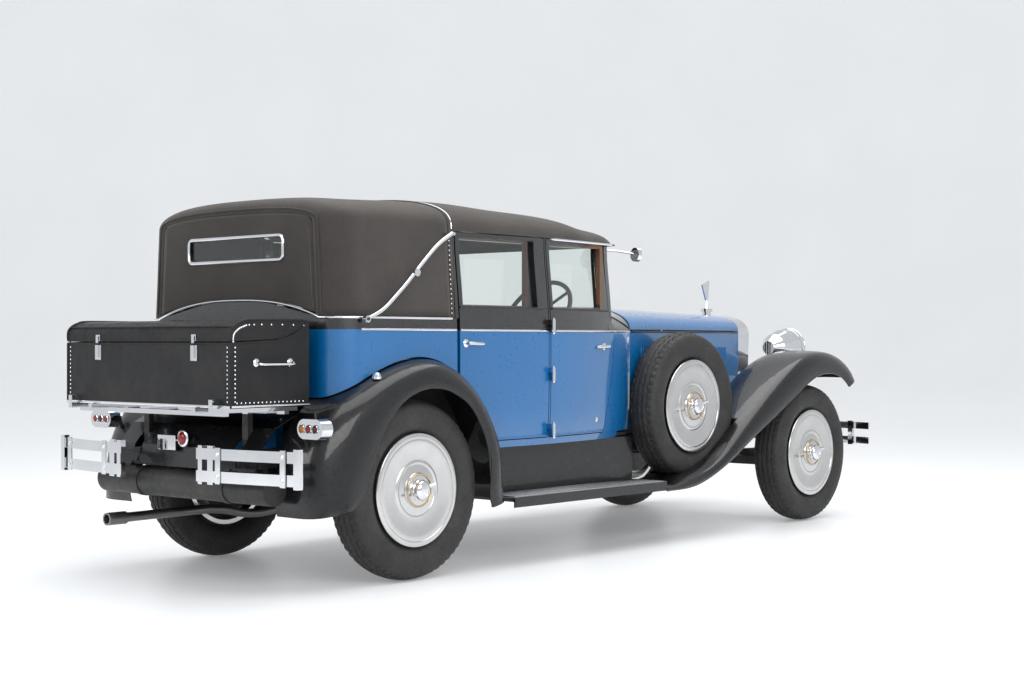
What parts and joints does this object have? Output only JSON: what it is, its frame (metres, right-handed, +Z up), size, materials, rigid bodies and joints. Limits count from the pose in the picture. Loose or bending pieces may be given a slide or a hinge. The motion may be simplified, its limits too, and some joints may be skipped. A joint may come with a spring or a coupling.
{
  "type": "landaulet car",
  "caption": "Early-1930s coachbuilt landaulet: long bonnet, four-door cabin with a folding rear head, sweeping fenders, side-mounted spare wheels and a luggage trunk.",
  "frame": {"origin": "on the ground under the middle of the car", "axes": "+X forward, +Y to the car's left, +Z up"},
  "size_m": [5.5218, 1.826, 1.9137],
  "materials": {
    "blue_paint": "gloss",
    "black_paint": "gloss",
    "chassis_black": "satin",
    "chrome": "polished",
    "polished_aluminium": "polished",
    "tyre": "matte",
    "glass": "clear",
    "hood_cloth": "matte",
    "trunk_leathercloth": "grained",
    "seat_leather": "satin",
    "bow_wood": "varnished",
    "control_black": "gloss",
    "exhaust_steel": "satin"
  },
  "bodies": {
    "body": {"chassis_frame": "chassis_black", "front_axle": "chassis_black", "rear_axle": "chassis_black", "leaf_springs": "chassis_black", "engine": "chassis_black", "radiator_shell": "chrome", "radiator_core": "chassis_black", "bonnet_sides": "blue_paint", "cowl": "blue_paint", "windscreen_glass": "glass", "body_frame": "black_paint", "rear_body": "blue_paint", "rear_apron": "black_paint", "floor": "chassis_black", "roof_front": "hood_cloth", "seats": "seat_leather", "front_fenders": "black_paint", "rear_fenders": "black_paint", "running_boards": "black_paint", "front_bumper": "chrome", "rear_bumpers": "chrome", "headlamps": "chrome", "tail_lamps": "chrome", "fuel_tank": "black_paint", "exhaust": "exhaust_steel", "trunk": "trunk_leathercloth", "trunk_rack": "chrome", "mirror": "chrome", "spare_wheels": "polished_aluminium", "spare_tyres": "tyre"},
    "trunk_lid": {"trunk_lid": "trunk_leathercloth"},
    "hood": {"hood_cover": "hood_cloth", "hood_frame": "chrome"},
    "hood_rear": {"hood_rear_bow": "bow_wood", "rear_window": "glass"},
    "steering_wheel": {"steering_wheel": "control_black"},
    "front_door_right": {"front_door_right": "blue_paint", "front_door_glass_right": "glass"},
    "front_wheel_right": {"front_wheel_right": "polished_aluminium", "front_tyre_right": "tyre"},
    "rear_door_right": {"rear_door_right": "blue_paint", "rear_door_glass_right": "glass"},
    "rear_wheel_right": {"rear_wheel_right": "polished_aluminium", "rear_tyre_right": "tyre"},
    "bonnet_right": {"bonnet_right": "blue_paint"},
    "knuckle_right": {"knuckle_right": "chassis_black"},
    "front_door_left": {"front_door_left": "blue_paint", "front_door_glass_left": "glass"},
    "front_wheel_left": {"front_wheel_left": "polished_aluminium", "front_tyre_left": "tyre"},
    "rear_door_left": {"rear_door_left": "blue_paint", "rear_door_glass_left": "glass"},
    "rear_wheel_left": {"rear_wheel_left": "polished_aluminium", "rear_tyre_left": "tyre"},
    "bonnet_left": {"bonnet_left": "blue_paint"},
    "knuckle_left": {"knuckle_left": "chassis_black"}
  },
  "joints": [
    {"name": "steer_right", "type": "hinge", "parent": "body", "child": "knuckle_right", "pos_m": [1.985, -0.575, 0.443], "axis": [0, 0, 1], "range_deg": [-25, 25]},
    {"name": "front_wheel_spin_right", "type": "hinge", "parent": "knuckle_right", "child": "front_wheel_right", "pos_m": [1.985, -0.715, 0.443], "axis": [0, 1, 0], "continuous": true},
    {"name": "rear_wheel_spin_right", "type": "hinge", "parent": "body", "child": "rear_wheel_right", "pos_m": [-1.695, -0.715, 0.443], "axis": [0, 1, 0], "continuous": true},
    {"name": "rear_door_right_hinge", "type": "hinge", "parent": "body", "child": "rear_door_right", "pos_m": [-0.62, -0.772, 0.99], "axis": [0, 0, 1], "range_deg": [0, 70]},
    {"name": "front_door_right_hinge", "type": "hinge", "parent": "body", "child": "front_door_right", "pos_m": [-0.62, -0.772, 0.99], "axis": [0, 0, -1], "range_deg": [0, 70]},
    {"name": "bonnet_right_hinge", "type": "hinge", "parent": "body", "child": "bonnet_right", "pos_m": [0.355, 0, 1.382], "axis": [-0.9997, 0, 0.0246], "range_deg": [0, 50]},
    {"name": "steer_left", "type": "hinge", "parent": "body", "child": "knuckle_left", "pos_m": [1.985, 0.575, 0.443], "axis": [0, 0, 1], "range_deg": [-25, 25]},
    {"name": "front_wheel_spin_left", "type": "hinge", "parent": "knuckle_left", "child": "front_wheel_left", "pos_m": [1.985, 0.715, 0.443], "axis": [0, 1, 0], "continuous": true},
    {"name": "rear_wheel_spin_left", "type": "hinge", "parent": "body", "child": "rear_wheel_left", "pos_m": [-1.695, 0.715, 0.443], "axis": [0, 1, 0], "continuous": true},
    {"name": "rear_door_left_hinge", "type": "hinge", "parent": "body", "child": "rear_door_left", "pos_m": [-0.62, 0.772, 0.99], "axis": [0, 0, -1], "range_deg": [0, 70]},
    {"name": "front_door_left_hinge", "type": "hinge", "parent": "body", "child": "front_door_left", "pos_m": [-0.62, 0.772, 0.99], "axis": [0, 0, 1], "range_deg": [0, 70]},
    {"name": "bonnet_left_hinge", "type": "hinge", "parent": "body", "child": "bonnet_left", "pos_m": [0.355, 0, 1.382], "axis": [0.9997, 0, -0.0246], "range_deg": [0, 50]},
    {"name": "trunk_lid_hinge", "type": "hinge", "parent": "body", "child": "trunk_lid", "pos_m": [-2.239, 0, 1.27], "axis": [0, -1, 0], "range_deg": [-80, 0]},
    {"name": "hood_fold", "type": "hinge", "parent": "body", "child": "hood", "pos_m": [-2.019, 0, 1.274], "axis": [0, -1, 0], "range_deg": [0, 128], "deforming": ["hood_cover"]},
    {"name": "hood_rear_fold", "type": "hinge", "parent": "body", "child": "hood_rear", "pos_m": [-2.019, 0, 1.274], "axis": [0, -1, 0], "range_deg": [0, 52]},
    {"name": "steering_wheel_turn", "type": "hinge", "parent": "body", "child": "steering_wheel", "pos_m": [-0.255, -0.35, 1.33], "axis": [0.8192, 0, -0.5736], "range_deg": [-360, 360]}
  ],
  "couplings": [
    {"joint": "steer_left", "follows": "steer_right", "ratio": 1},
    {"joint": "steering_wheel_turn", "follows": "steer_right", "ratio": -14},
    {"joint": "hood_rear_fold", "follows": "hood_fold", "ratio": 0.4}
  ]
}
